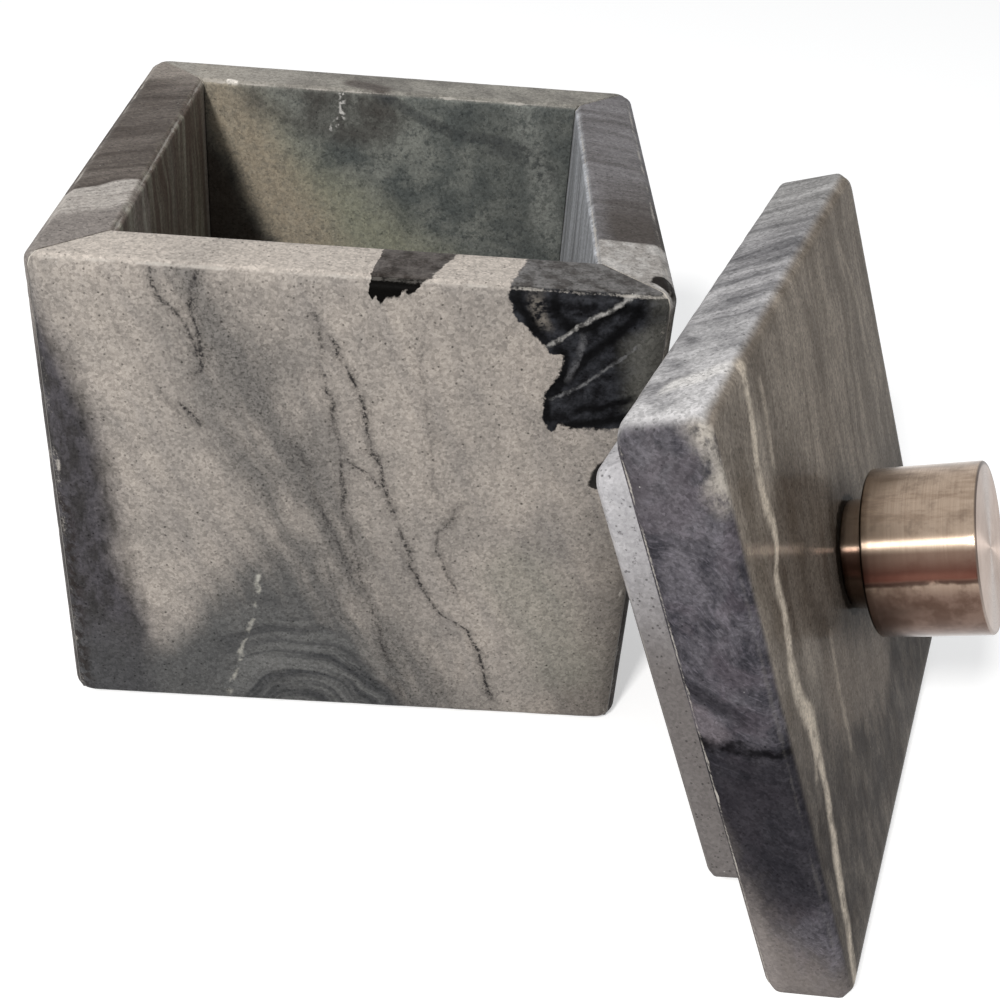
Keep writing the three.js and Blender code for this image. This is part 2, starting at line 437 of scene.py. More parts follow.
# %% Sizes of the canister in millimetres, and the section of a wall
HALF, HEIGHT, WALL, CORNER = 51.0, 89.0, 12.5, 4.0
EASE, MOUTH_EASE, GLUE = 2.2, 1.2, 0.3
STEP, WALL_WEAR = 1.3, 0.3


def bent(points, lean=1.0):
    """Points of a rounding with their wear, strongest in its middle or, with lean, nearer its end."""
    return [(p, math.sin(math.pi * (k / (len(points) - 1)) ** lean) ** 3) for k, p in enumerate(points)]


def wall_section():
    """The section as ((depth, height), wear), with depth measured in from the outside."""
    top, mouth, lip = HEIGHT - EASE, WALL - MOUTH_EASE, HEIGHT - MOUTH_EASE
    section = [(p, 0) for p in spaced((0, EASE), (0, top), STEP)]
    section += bent(rounded(180, (EASE, top), EASE, 8), 1.7)
    section += [(p, 0) for p in spaced((EASE, HEIGHT), (mouth, HEIGHT), STEP)[1:]]
    section += bent(rounded(90, (mouth, lip), MOUTH_EASE, 6))
    section += [(p, 0) for p in spaced((WALL, lip), (WALL, 0), STEP)[1:]]
    section += [(p, 0) for p in spaced((WALL, 0), (EASE, 0), STEP)]
    section += bent(rounded(270, (EASE, EASE), EASE, 6))[:-1]
    return section


def along_wall(share, depth):
    """Where the outline is, seen from above, at a share from -1 to 1 of the way between the mitres."""
    side = math.copysign(1, share)
    bend = max(CORNER - depth, 0.0)
    straight = HALF - max(CORNER, depth)
    whole = straight + bend * math.pi / 4
    travel = abs(share) * (whole - GLUE / math.sqrt(2))
    if travel <= straight or bend == 0:
        return side * min(travel, straight + bend), depth
    angle = (travel - straight) / bend
    return side * (straight + bend * math.sin(angle)), CORNER - bend * math.cos(angle)


print("A wall's section has", len(wall_section()), "points")

# %% [markdown]
# The sweep takes that section from mitre to mitre. Its rings stand closer together near the mitres,
# where the upright edge is rounded, so that the corner stays smooth. One wall is drawn at the front,
# and turning it by quarters gives the other three, each with chips of its own.

# %% Four walls
END_SHARES = 1 - np.array([0, 0.6, 1.2, 1.8, 2.4, 3.0, 3.7]) / 50
MID_SHARES = np.linspace(-END_SHARES[-1], END_SHARES[-1], 73)[1:-1]
SHARES = np.concatenate([-END_SHARES, MID_SHARES, END_SHARES[::-1]])


def turned(name, quarter, rings, wear=None):
    """A skin that is drawn at the front and then turned by quarters about the upright axis."""
    turn = np.array(Matrix.Rotation(quarter * math.pi / 2, 3, "Z"))
    made = skin(name, np.array(rings) @ turn.T, wear)
    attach(made, "canister")
    return made


def wall(name, quarter, seed):
    """One wall: its section, swept from mitre to mitre and worn along its edges."""
    section = wall_section()
    heights = np.array([p[1] for p, _ in section])
    depths = np.array([p[0] for p, _ in section])
    eased = np.array([float(e) for _, e in section])
    centre = np.array([WALL / 2, HEIGHT / 2])
    rings, wear = [], []
    for share in SHARES:
        plan = np.array([along_wall(share, d) for d in depths])
        ring = np.stack([plan[:, 0], plan[:, 1] - HALF, heights], 1)
        corner = np.clip((abs(ring[:, 0]) - (HALF - CORNER)) / 2.5, 0, 0.7) * (depths < 0.5)
        worn = chips(ring, seed) * np.maximum(eased, corner)
        inward = np.stack([-np.sign(ring[:, 0]) * corner, np.sign(centre[0] - depths),
                           np.sign(centre[1] - heights) * (eased > 0)], 1)
        rings.append(ring + inward * (WALL_WEAR * worn)[:, None])
        wear.append(worn)
    return turned(name, quarter, rings, wear)


walls = {
    "front_wall": wall("front_slab", quarter=0, seed=11.0),
    "right_wall": wall("right_slab", quarter=1, seed=23.0),
    "back_wall": wall("back_slab", quarter=2, seed=37.0),
    "left_wall": wall("left_slab", quarter=3, seed=53.0),
}
for node, slab in walls.items():
    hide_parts(node)
    low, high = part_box(node)
    print(node, "CAD", [round(v / MM, 2) for v in (*low, *high)])
    corners = np.array([v.co for v in slab.data.vertices]) / MM
    print("   here", corners.min(0).round(2), corners.max(0).round(2), len(corners), "points")

# %% [markdown]
# ## Resin in the mitres
# Slabs are glued with pale resin, and a thin line of it shows across each corner of the rim. A drawn
# line would stop at the edge, so each joint gets a thin sheet of resin that fills it from top to
# bottom, a hair below the stone where the worker scraped it clean.

# %% Four sheets of resin
RESIN_BACK = 0.12


def resin_sheet(name, quarter):
    """A sheet as thick as the glue line, its outline given as (distance from the middle, height)."""
    inner, outer = HALF - WALL + RESIN_BACK, HALF - CORNER * (1 - math.sqrt(0.5)) - RESIN_BACK
    outline = [(inner, RESIN_BACK), (outer - 1.0, RESIN_BACK), (outer - 0.3, 0.7), (outer, 2.0)]
    outline += [(outer, HEIGHT - 2.0), (outer - 0.3, HEIGHT - 0.9), (outer - 1.1, HEIGHT - RESIN_BACK)]
    outline += [(inner + 0.9, HEIGHT - RESIN_BACK), (inner, HEIGHT - 1.0)]
    half = GLUE / 2 * math.sqrt(0.5)
    rings = [[(d + side * half, -d + side * half, h) for d, h in outline] for side in (0.96, -0.96)]
    return turned(name, quarter, rings)


CORNERS = ("front_right", "back_right", "back_left", "front_left")
resins = [resin_sheet(f"mitre_resin_{corner}", quarter) for quarter, corner in enumerate(CORNERS)]
print(len(resins), "sheets of resin,", GLUE, "mm thick")

# %% [markdown]
# ## The lid's own place
# The lid leans, so its slabs are easiest to make lying flat, in axes of their own, and then to set in
# place as a whole. Patterns read an object's own coordinates, so the lid's marble will not slide
# through the stone when the lid moves.

# %% Where the lid stands
LID_TURN, LID_LEAN = math.radians(21.8), math.radians(22.2)
LID_FOOT = Vector((89.982, -64.854, -0.607))
LID_HALF, LID_THICK, LID_CORNER, LID_EASE, LID_WEAR = 50.25, 13.0, 4.5, 2.0, 0.25
LID_PLACE = (
    Matrix.Translation(LID_FOOT * MM)
    @ Matrix.Rotation(math.pi / 2 - LID_TURN, 4, "Z")
    @ Matrix.Rotation(math.pi / 2 - LID_LEAN, 4, "X")
)
middle = LID_PLACE @ (Vector((0, LID_HALF, LID_THICK / 2)) * MM)
low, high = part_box("lid_slab")
print("Middle of the lid's slab:", [round(v / MM, 2) for v in middle])
print("The same in the CAD model:", [round(v / MM / 2, 2) for v in low + high])

# %% [markdown]
# ## Lid slab and plug
# Both are square slabs with a hole through the middle for the knob's screw. The skin starts at the
# hole, where its rings are circles, and widens to rounded squares at the rim, then goes over the
# eased edges and back under to the hole. That keeps every face small and the whole skin closed.

# %% Square rings round a hole


def square_ring(half, radius, straight=60, bends=9):
    """Points round a square with rounded corners, evenly spaced on its sides."""
    points = []
    for side in range(4):
        across, up = math.cos(side * math.pi / 2), math.sin(side * math.pi / 2)
        line = [(half, t * (half - radius)) for t in np.linspace(-1, 1, straight + 1)[:-1]]
        arc = [(half - radius + radius * math.cos(a), half - radius + radius * math.sin(a))
               for a in np.linspace(0, math.pi / 2, bends + 1)[:-1]]
        points += [(p * across - q * up, p * up + q * across) for p, q in line + arc]
    return np.array(points)


def square_slab(name, stages, seed, depth):
    """A pierced square slab, drawn through stages of (half, radius, height, eased, shrunk).

    A stage is a rounded square. Where shrunk is given, as (hole, share), it stands that share of the
    way from the circle of the hole out to the square."""
    rings, wear = [], []
    for half, radius, height, eased, shrunk in stages:
        flat = square_ring(half, radius)
        if shrunk is not None:
            start = flat / np.linalg.norm(flat, axis=1)[:, None] * shrunk[0]
            flat = start + (flat - start) * shrunk[1]
        ring = np.column_stack([flat[:, 0], flat[:, 1] + LID_HALF, np.full(len(flat), height)])
        worn = chips(ring, seed) * eased
        down = -1.0 if height > LID_THICK / 2 else 1.0
        inward = np.column_stack([-flat / np.abs(flat).max(1)[:, None], np.full(len(flat), down)])
        rings.append(ring + inward * (depth * worn)[:, None])
        wear.append(worn)
    return skin(name, np.array(rings), wear, looped=True)


def spread(hole, half, radius, height, rings, outward):
    """Stages of a flat face between the hole and a rounded square."""
    shares = np.linspace(0, 1, rings + 1)
    stages = [(half, radius, height, 0.0, (hole, float(s))) for s in shares]
    return stages if outward else stages[::-1]


def eased_edge(half, radius, ease, height, over):
    """Stages round an eased edge of a slab, from its side to its underside or, with over, to its top."""
    stages = []
    for angle in np.linspace(0, math.pi / 2, 7):
        inset, drop = ease * (1 - math.sin(angle)), ease * (1 - math.cos(angle))
        level = height - drop if over else height + drop
        stages.append((half - inset, radius - inset, level, max(0.0, math.sin(2 * angle)) ** 3, None))
    return stages if over else stages[::-1]


def straight_side(half, radius, high, low, count):
    """Stages down the upright side of a slab, between its eased edges."""
    return [(half, radius, h, 0.0, None) for h in np.linspace(high, low, count)[1:-1]]


print("A ring has", len(square_ring(LID_HALF, LID_CORNER)), "points")

# %% [markdown]
# The lid's stages go from the hole out over its face, round the eased edge, down the sides, round the
# lower edge and back to the hole. They are drawn the other way round, so that the faces look outwards.

# %% Lid slab
HOLE, RINGS = 3.0, 34
lid_stages = spread(HOLE, LID_HALF - LID_EASE, LID_CORNER - LID_EASE, LID_THICK, RINGS, True)[:-1]
lid_stages += eased_edge(LID_HALF, LID_CORNER, LID_EASE, LID_THICK, True)
lid_stages += straight_side(LID_HALF, LID_CORNER, LID_THICK - LID_EASE, LID_EASE, 9)
lid_stages += eased_edge(LID_HALF, LID_CORNER, LID_EASE, 0.0, False)
lid_stages += spread(HOLE, LID_HALF - LID_EASE, LID_CORNER - LID_EASE, 0.0, RINGS, False)[1:]
lid_piece = square_slab("lid_top_slab", lid_stages[::-1], seed=71.0, depth=LID_WEAR)
print("Lid slab:", len(lid_piece.data.vertices), "points")

# %% [markdown]
# The plug is a smaller slab, glued under the lid, that drops into the mouth and keeps the lid from
# sliding off. It is drawn in the same way, with a recess underneath for the screw's head and washer.

# %% Plug under the lid
PLUG_HALF, PLUG_CORNER, PLUG_EASE, PLUG_WEAR = 38.0, 3.0, 1.2, 0.2
PLUG_LOW, PLUG_TOP = -10.0, -0.3
RECESS, RECESS_FLOOR = 7.0, -4.8
plug_stages = spread(HOLE, PLUG_HALF, PLUG_CORNER, PLUG_TOP, 10, True)
plug_stages += straight_side(PLUG_HALF, PLUG_CORNER, PLUG_TOP, PLUG_LOW + PLUG_EASE, 7)
plug_stages += eased_edge(PLUG_HALF, PLUG_CORNER, PLUG_EASE, PLUG_LOW, False)
plug_stages += spread(RECESS, PLUG_HALF - PLUG_EASE, PLUG_CORNER - PLUG_EASE, PLUG_LOW, 22, False)[1:]
for hole in (RECESS, HOLE):
    plug_stages.append((RECESS, RECESS - 0.001, RECESS_FLOOR, 0.0, (hole, 0.0)))
plug_piece = square_slab("lid_plug_slab", plug_stages[::-1], seed=91.0, depth=PLUG_WEAR)
for piece, node, mark in ((lid_piece, "lid_slab", "lid_marble"), (plug_piece, "lid_plug", "plug_marble")):
    piece.matrix_world = LID_PLACE
    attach(piece, "lid")
    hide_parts(node)
print("Plug:", len(plug_piece.data.vertices), "points")

# %% [markdown]
# ## Knob
# The knob is turned from bar and brushed round its axis. A lathe shape is a profile that is swept
# round, so its rings are circles. The small roundings at its edges catch the light as thin lines.

# %% Turned knob
KNOB_TURNS, KNOB_SHARP = 128, 35
NECK, HEAD, SHOULDER, TOP, FOOT = 9.0, 13.75, 17.5, 34.9, 13.3
KNOB_EDGE, FOOT_EDGE, FILLET = 0.45, 0.3, 0.6
BORE, BORE_TOP, CENTRE = 2.65, 27.3, 0.4

profile = [(BORE, BORE_TOP), (BORE, FOOT)] + spaced((BORE, FOOT), (NECK - FOOT_EDGE, FOOT), 1.2)[1:]
profile += rounded(-90, (NECK - FOOT_EDGE, FOOT + FOOT_EDGE), FOOT_EDGE, 3, 90)
profile += spaced((NECK, FOOT + FOOT_EDGE), (NECK, SHOULDER - FILLET), 0.8)[1:]
for angle in np.linspace(0, math.pi / 2, 5):
    across, up = FILLET * math.cos(angle), FILLET * math.sin(angle)
    profile.append((NECK + FILLET - across, SHOULDER - FILLET + up))
profile += spaced((NECK + FILLET, SHOULDER), (HEAD - KNOB_EDGE, SHOULDER), 1.0)[1:]
profile += rounded(-90, (HEAD - KNOB_EDGE, SHOULDER + KNOB_EDGE), KNOB_EDGE, 6, 90)
profile += spaced((HEAD, SHOULDER + KNOB_EDGE), (HEAD, TOP - KNOB_EDGE), 1.0)[1:]
profile += rounded(0, (HEAD - KNOB_EDGE, TOP - KNOB_EDGE), KNOB_EDGE, 7, 90)
profile += spaced((HEAD - KNOB_EDGE, TOP), (CENTRE, TOP), 1.2)[1:] + [(CENTRE, TOP)]
angles = np.linspace(0, 2 * math.pi, KNOB_TURNS, endpoint=False)
rings = [[(r * math.cos(a), r * math.sin(a), h) for a in angles] for r, h in profile]
knob = skin("turned_knob", rings, sharp=KNOB_SHARP)
knob.matrix_world = LID_PLACE @ Matrix.Translation((0, LID_HALF * MM, 0))
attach(knob, "lid")
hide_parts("knob")
print("Knob:", len(knob.data.vertices), "points,", round(knob.dimensions.x / MM, 2), "mm across")

# %% [markdown]
# ## What every slab of marble has
# Seen close, marble is sugary: a mass of small crystals, each a little lighter or darker than the
# next, with a few dark specks, and now and then a painted glint: a grain painted pale where a crystal
# would sparkle. Where an edge is worn, the crushed crystals look chalky. On the rim the stone is
# painted paler, partly for its honing and partly as painted light from above. This cell adds all that
# on top of whatever pattern a slab has. The grains are Voronoi cells, because noise alone gives soft
# clouds and never the crisp edge of a crystal.

# %% Grain, specks and worn edges
CHALK = (196, 190, 182)
HONED_AND_LIT_TONE = (216, 206, 196)


def finish_stone(recipe, colour, polish=0.36, grain=0.45, specks=0.5, chalk=0.6, honed_and_lit=None, shine=0.03):
    """Turns a slab's pattern into its finished surface."""
    split = parts(recipe.cells(0.5))
    light = 1 + grain * (split[0] + 1.8 * recipe.noise(0.36, 2, 0.7) - 1.4)
    sparse = recipe.cells(0.95, out="Distance")
    which = parts(Field(recipe, sparse.socket.node.outputs["Color"]))
    speck = rise(sparse, 0.26, 0.14) * rise(which[0], 0.5, 0.8)
    light = light - specks * speck
    # The rim's honed tone is painted paler than honing alone would make it, standing in for the stronger
    # light that falls on the top: partly painted light.
    if honed_and_lit is not None:
        colour = lay(colour, HONED_AND_LIT_TONE, honed_and_lit)
    colour = recipe.vector("SCALE", colour, Scale=light)
    worn = recipe.node("Attribute", out="Fac", attribute_name="wear")
    dusty = rise(worn * worn + 0.5 * recipe.noise(0.5, 3, 0.7), 0.4, 0.62) * chalk
    colour = lay(colour, CHALK, dusty)
    # Painted glints: a few grains are painted pale, standing in for crystals that sparkle in the light.
    painted_glint = rise(sparse, 0.15, 0.08) * rise(which[1], 0.985, 0.99)
    colour = lay(colour, (226, 224, 220), painted_glint * 0.42)
    rough = polish + 0.16 * recipe.noise(4.0, 3) + 0.3 * dusty + 0.1 * split[2]
    height = split[1] * 0.25 + recipe.noise(7.0, 2) * 1.2 + dusty * recipe.noise(0.8, 2) * 1.2 - speck * 0.3
    recipe.surface({"Base Color": colour, "Roughness": rough, "Specular IOR Level": shine})
    recipe.surface({"Normal": recipe.bump(0.5, 0.06, height)})
    return recipe.material


def rim_of(recipe):
    """1 on the flat of the canister's rim, 0 below it."""
    return rise(recipe.z, HEIGHT - 1.0, HEIGHT - 0.15)


def dress(piece, material):
    piece.data.materials.clear()
    piece.data.materials.append(material)


# %% [markdown]
# ## Front wall
# This slab has the most to show. Beige stone flows round a darker band on the left and a swirl at the
# bottom, smoky streaks cross it, and near the right corner lies a black inclusion with pale cracks.
# Each is a traced line or shape in the plane of the face. The plane's place is first made wavy by
# noise, which gives every edge the same natural raggedness, and slides a little with depth, so that
# on the rim the pattern runs on across the stone.

# %% Front wall: clouds and smoke
front = Recipe("front_marble")
depth = front.y + HALF
flat = front.point(front.x - 0.25 * depth, depth, front.z)
broad = wobble(flat, 13, 5.0)
wavy = wobble(broad, 2.4, 1.3)
bx, _, bz = parts(broad)
x, _, z = parts(wavy)
streak = front.streaks(4, 0.6, (bx * 0.9 + bz * 0.44) / 4.6, depth / 20, (bx * 0.44 - bz * 0.9) / 34.0)
cloud = front.noise(16, 3, 0.55, place=wavy)

colour = lay((163, 155, 147), (142, 136, 130), rise(cloud, 0.32, 0.68))
colour = lay(colour, (121, 117, 114), 0.55 * rise(streak, 0.42, 0.75))
smoke_left = path(bz, [
    (5, -30), (19, -27), (26, -25), (34, -21.5), (41, -19.5), (50, -20.5), (62, -24), (71, -28),
    (81, -31), (89, -33),
])
smoke_right = path(bz, [
    (4, 24), (12, 19), (20, 13), (32, 7), (44, 2.2), (55, -1.4), (63, -4.3), (73, -7), (80, -12),
    (89, -18),
])
smoke = rise(bx - smoke_left, -5, 7) * rise(smoke_right - bx, -7, 8)
smoke = smoke * rise(streak + 0.25 * cloud, 0.38, 0.72, 0.35, 0.95)
colour = lay(colour, (85, 84, 83), smoke * rise(bz, 100, 30, 0.6, 0.78))
dotted = rise(front.noise(0.5, 1, 0.6), 0.56, 0.64)
colour = lay(colour, (52, 50, 48), smoke * dotted * 0.5)
print("Front wall, clouds and smoke:", len(front.tree.nodes), "nodes")

# %% [markdown]
# Low down, left of the middle, the bedding folds into a swirl of fine rings. A ring is noise of the
# distance from one point, read where large waves have already bent the place.

# %% Front wall: swirl
arch = path(bx, [
    (-51, 15), (-38, 12), (-34, 13.7), (-26, 22), (-20.5, 29), (-13, 32), (-5.7, 28), (1.1, 19),
    (8.3, 9), (11.6, 3.8), (16, -4),
])
swirl = rise(arch - bz + 9 * (streak - 0.5), -5.5, 8)
folded = wobble(wobble(flat, 19, 10.0), 5, 1.8)
fx, _, fz = parts(folded)
ring = length(front.point((fx + 9) * 0.85, 0.0, fz + 3))
rings = front.streaks(3, 0.55, ring / 2.4, depth / 30, bx / 30)
rings = rise(rings, 0.34, 0.66)
rings = 0.5 + (rings - 0.5) * rise(ring, 30, 14, 0.3, 1.0) * rise(bx, -26, -16, 0.25, 1.0)
dark = lay((55, 56, 58), (100, 100, 99), rings)
colour = lay(colour, dark, swirl * rise(bz, 32, 14, 0.72, 0.95))
print("Front wall, swirl:", len(front.tree.nodes), "nodes")

# %% [markdown]
# A dark blue-grey band runs down the left side. Its edge is traced, and blotches make it uneven. Low
# along the corner the stone is darker and browner in patches.

# %% Front wall: dark band
band = path(bz, [
    (5, -33.5), (13.8, -33), (22.5, -35.5), (29, -36.8), (36, -37.8), (44, -38.2), (52, -39),
    (59, -40.1), (67, -42.4), (75, -45), (81, -47.6), (84, -49), (91, -54),
])
blotch = front.noise(4.2, 4, 0.66, place=front.stretched(1.6, 1.0, 0.7, place=flat))
blue = lay((70, 68, 73), (41, 40, 42), rise(blotch, 0.36, 0.64))
blue = lay(blue, (74, 74, 75), rise(bz, 26, 6) * 0.85)
colour = lay(colour, blue, 0.95 * rise(band - bx + 5 * (blotch - 0.5), -2.4, 4.8))
# Low along the left corner the stone is darker and browner in patches.
dark_corner_patches = rise(front.x, -HALF + 5.2, -HALF + 2.6) * rise(front.z, 50, 42)
dark_corner_patches = dark_corner_patches * rise(front.noise(2.4, 4, 0.7), 0.44, 0.56)
colour = lay(colour, (38, 32, 29), 0.75 * dark_corner_patches)
print("Front wall, dark band:", len(front.tree.nodes), "nodes")

# %% [markdown]
# Fine dark veins wander down the face, and one white one crosses the swirl. Each is the distance to a
# traced line, thresholded. Noise along the vein lets it fade and come back, as real ones do.

# %% Front wall: veins
VEINS = [
    (0.9, [(88.4, -31.2), (84.2, -29.6), (78, -25.4), (71.4, -23.7)]),
    (1.0, [(89, -23.6), (81.7, -24.5), (76.7, -23.5), (72.1, -23.8), (69.7, -25.8)]),
    (1.0, [(65.6, -28.1), (63.4, -26.2), (60.3, -24.3)]),
    (0.8, [(83.9, -5.6), (78.1, -4.6), (67.5, -3.3), (57.9, -1.5), (47.9, -0.3), (37.3, 1.3), (25.4, 4.1),
           (14.8, 7.4), (3.7, 10.8)]),
    (0.95, [(79.6, -3.6), (69.3, 1.1), (55.1, 4.9), (50.1, 6.4), (38, 10.4), (25.3, 16.1), (18.9, 21.8),
            (10.1, 26.2), (3.9, 28.3)]),
    (0.6, [(61.4, -9.8), (49.2, -5.7), (40.7, -2.8), (30.9, 1.7)]),
    (0.85, [(56.2, -0.8), (54.7, 0.6), (53.4, 2.6), (50.1, 5.9)]),
    (0.35, [(83.7, 12.4), (79.3, 11.6), (68.6, 12.4), (52.4, 14.5), (48.2, 15.8)]),
    (0.7, [(48.5, 19.3), (43, 17.1), (39.3, 15.5), (34.9, 17.9), (27.5, 19.8)]),
    (0.35, [(80.7, -38.9), (73.6, -34.3), (65.5, -29.4), (60.3, -24.3)]),
]

patchy = rise(front.noise(6, 3, 0.6, place=flat), 0.34, 0.55, 0.35, 1.0)
grainy = rise(front.noise(0.55, 2, 0.7), 0.42, 0.58, 0.15, 1.0)
veins = None
for strength, points in VEINS:
    core = vein(z, x, points, 0.2, 0.4)
    halo = vein(z, x, points, 0.5, 1.4)
    one = (core * grainy * 0.8 + halo * (0.26 + 0.34 * dotted)) * strength
    veins = one if veins is None else most(veins, one)
colour = lay(colour, (48, 46, 46), veins * patchy)
white = vein(z, x, [(31.5, -16.1), (24.8, -16.6), (14.9, -18.8), (2.3, -22.3)], 0.3, 0.4)
colour = lay(colour, (150, 148, 141), white * rise(front.noise(2.2, 3), 0.4, 0.56))
print("Front wall with veins:", len(front.tree.nodes), "nodes")

# %% [markdown]
# The black inclusions have hard, ragged outlines. A traced outline of each is compared with the place,
# once made wavy and then ragged. The one in the middle of the rim is small and black, and drips down.

# %% Front wall: black inclusion at the rim
ragged = wobble(wobble(flat, 2.6, 0.9), 0.8, 0.8)
x, _, z = parts(ragged)
spreading = x + depth * rise(x, 4, 9, 0.13, -0.16)
drips = path(spreading, [
    (1.2, 97), (2.6, 89.7), (2.9, 87.5), (3.1, 85.6), (3.7, 86.3), (4.5, 84.9), (5.3, 85.9),
    (7.2, 86.1), (8.2, 87.5), (9.0, 86.9), (9.9, 87.5), (10.4, 88.5), (11.3, 89.0), (12.6, 97),
])
top_black = rise(z - drips + front.noise(0.7, 2) - 0.5, -0.25, 0.25)
colour = lay(colour, (7, 6, 5), top_black)
print("Front wall with one inclusion:", len(front.tree.nodes), "nodes")

# %% [markdown]
# Inside the large inclusion, black streaks border slate-grey patches, and pale cracks run through them
# up to the corner. The patches come from noise, and every streak and crack is a traced vein.

# %% Front wall: black inclusion at the corner
left_side = path(z, [
    (63, 33.4), (65.5, 31.9), (67.1, 31.4), (70.9, 31.5), (73, 32.5), (76, 33.7), (77.7, 33.8),
    (78.3, 31.6), (79.8, 30.4), (81.2, 28.9), (82.7, 27.6), (84.4, 25.4), (86.5, 24.8), (88.3, 24.2),
    (90, 24.6),
])
underside = path(x, [
    (31, 65.5), (33.4, 63.8), (34.4, 65.3), (37.5, 64.7), (41.3, 64.8), (43.7, 65.1), (45.1, 67.4),
    (52, 69),
])
crumbs = 1.3 * (front.noise(0.6, 3, 0.7) - 0.5)
corner_black = rise(x - left_side + crumbs, -0.22, 0.22) * rise(z - underside + crumbs, -0.3, 0.3)
slate = rise(front.noise(3.4, 4, 0.66, place=front.stretched(1.0, 1.0, 1.4, place=flat)), 0.36, 0.66)
black = lay((17, 17, 19), (49, 50, 54), slate)
fade = path(bz, [
    (62, 47), (70, 45), (76.6, 43), (79.2, 42.6), (81.8, 43.4), (83.9, 45.4), (86.4, 47), (90, 46.5),
])
black = lay(black, (92, 91, 86), rise(bx - fade, -2.0, 3.0) * 0.8)
wedge = vein(z, x, [(82.6, 30.4), (85.3, 29.2), (88, 28.4)], 1.1, 0.8)
black = lay(black, (104, 99, 93), wedge * rise(slate, 0.1, 0.6))
for along, across, points, half_width in (
    (z, x, [(88.4, 25.2), (85.7, 26.4), (84.2, 27.8), (82.1, 29.1), (79.9, 31.0)], 1.1),
    (z, x, [(88.5, 31.2), (85.5, 31.9), (83.8, 33.2)], 0.8),
    (x, z, [(32.6, 83.6), (36.1, 83.1), (40.1, 85.6), (42.8, 86.8), (45.6, 86.7)], 1.0),
    (x, z, [(32.4, 70.6), (34.2, 73.1), (36.3, 76.2), (38.1, 78.3), (40.6, 81.1), (43.2, 83.8),
            (45.4, 86.2)], 1.5),
    (z, x, [(65.1, 32.4), (68.2, 31.9), (71.6, 32.0), (73.3, 33.1), (76.7, 34.2), (79.0, 33.6)], 0.6),
    (x, z, [(36.3, 67.5), (38.5, 68.7), (40.9, 68.9), (43.4, 70.1), (46, 71)], 0.6),
    (x, z, [(33.3, 64.5), (37.1, 65.5), (40.6, 66.1), (43.5, 67.0), (46, 68)], 0.8),
):
    black = lay(black, (9, 9, 10), 0.92 * vein(along, across, points, half_width, 0.6))
for along, across, points, half_width, shade in (
    (z, x, [(81.8, 36.7), (79.5, 36.5), (76.8, 35.8), (73.8, 34.8)], 0.55, (84, 84, 86)),
    (x, z, [(32.8, 70.0), (35.8, 71.9), (39.1, 74.4), (41.7, 76.9), (43.8, 78.7), (45.3, 80.5)], 0.2,
     (102, 102, 103)),
    (x, z, [(30.8, 79.1), (32.4, 80.5), (34.2, 81.9), (36.6, 84.0), (40.0, 86.2), (42.6, 88.1),
            (44.7, 89.5)], 0.36, (150, 148, 145)),
):
    crack = vein(along, across, points, half_width, 0.35)
    black = lay(black, shade, crack * rise(front.noise(1.3, 3, 0.65), 0.4, 0.58, 0.2, 0.95))
colour = lay(colour, black, corner_black)
edge_black = path(z, [
    (46, 52), (49.5, 47), (51.1, 43.6), (52.8, 42.6), (53.9, 40.4), (57.8, 41.3), (59.6, 43.3),
    (62.1, 44.0), (66, 46), (68, 52),
])
colour = lay(colour, (30, 29, 29), rise(x - edge_black, -0.3, 0.3))
print("Front wall with both inclusions:", len(front.tree.nodes), "nodes")

# %% [markdown]
# Low on the right the stone is browner, with a faint green cloud beside the swirl. The rim is honed and
# not polished, so it looks paler, and it is painted paler still as painted light from above; the black
# inclusions turn to slate there.

# %% Front wall: lower right and rim
low_right = rise(bx + 0.12 * (40 - bz), 34, 53) * rise(bz, 66, 44)
colour = lay(colour, (93, 88, 83), 0.7 * low_right)
green = reach(flattened(broad), (31, 33), (40, 14))
colour = lay(colour, (124, 124, 114), 0.4 * rise(green, 11, 2))
on_rim = rise(front.z, HEIGHT - 0.9, HEIGHT - 0.1)
inclusion = most(top_black, corner_black)
slate_cloud = rise(front.noise(2.6, 4, 0.65), 0.34, 0.62)
slate_rim = lay((76, 73, 71), (116, 114, 113), slate_cloud)
slate_rim = lay(slate_rim, lay((58, 53, 50), (96, 91, 88), slate_cloud), top_black)
on_flat = rise(front.z, HEIGHT - 0.4, HEIGHT - 0.08)
colour = lay(colour, slate_rim, on_flat * inclusion * 0.92)
chalk = 0.6 - 0.45 * top_black
# Honed rim, painted paler partly as light from above.
honed_and_lit = on_rim * (0.5 - 0.5 * inclusion)
dress(walls["front_wall"], finish_stone(front, colour, chalk=chalk, honed_and_lit=honed_and_lit))
print("Front wall in all:", len(front.tree.nodes), "nodes")

# %% [markdown]
# ## Side walls
# The two side walls were sawn across the stone's bedding, so they show near-upright stripes that run
# on over the rim. A stripe pattern is a noise of one number only: how far along the bedding a point
# is. The left wall is brown with one light band, and the right one grey, browner towards the front.

# %% Left wall
left = Recipe("left_marble")
swayed = wobble(wobble(left.place, 26, 10.0), 5, 1.6)
lx, ly, lz = parts(swayed)
bed = ly - 0.55 * (lx + HALF) + 0.07 * lz
stripes = left.streaks(4, 0.6, bed / 6.0, lz / 90, lx / 40)
fine_stripes = left.streaks(3, 0.6, bed / 0.8, lz / 40, lx / 25)
colour = lay((62, 54, 49), (118, 110, 104), rise(stripes, 0.36, 0.66))
colour = lay(colour, (52, 46, 43), 0.45 * rise(fine_stripes, 0.48, 0.72))
colour = lay(colour, (50, 43, 39), 0.4 * rise(ly, 38, 20) * rise(ly, -24, -16))
light_band = rise(bed, -18.6, -19.6) * rise(bed, -35, -29)
colour = lay(colour, (186, 180, 174), light_band * rise(fine_stripes, 0.75, 0.35, 0.5, 0.9))
near_front = rise(bed, -29, -34)
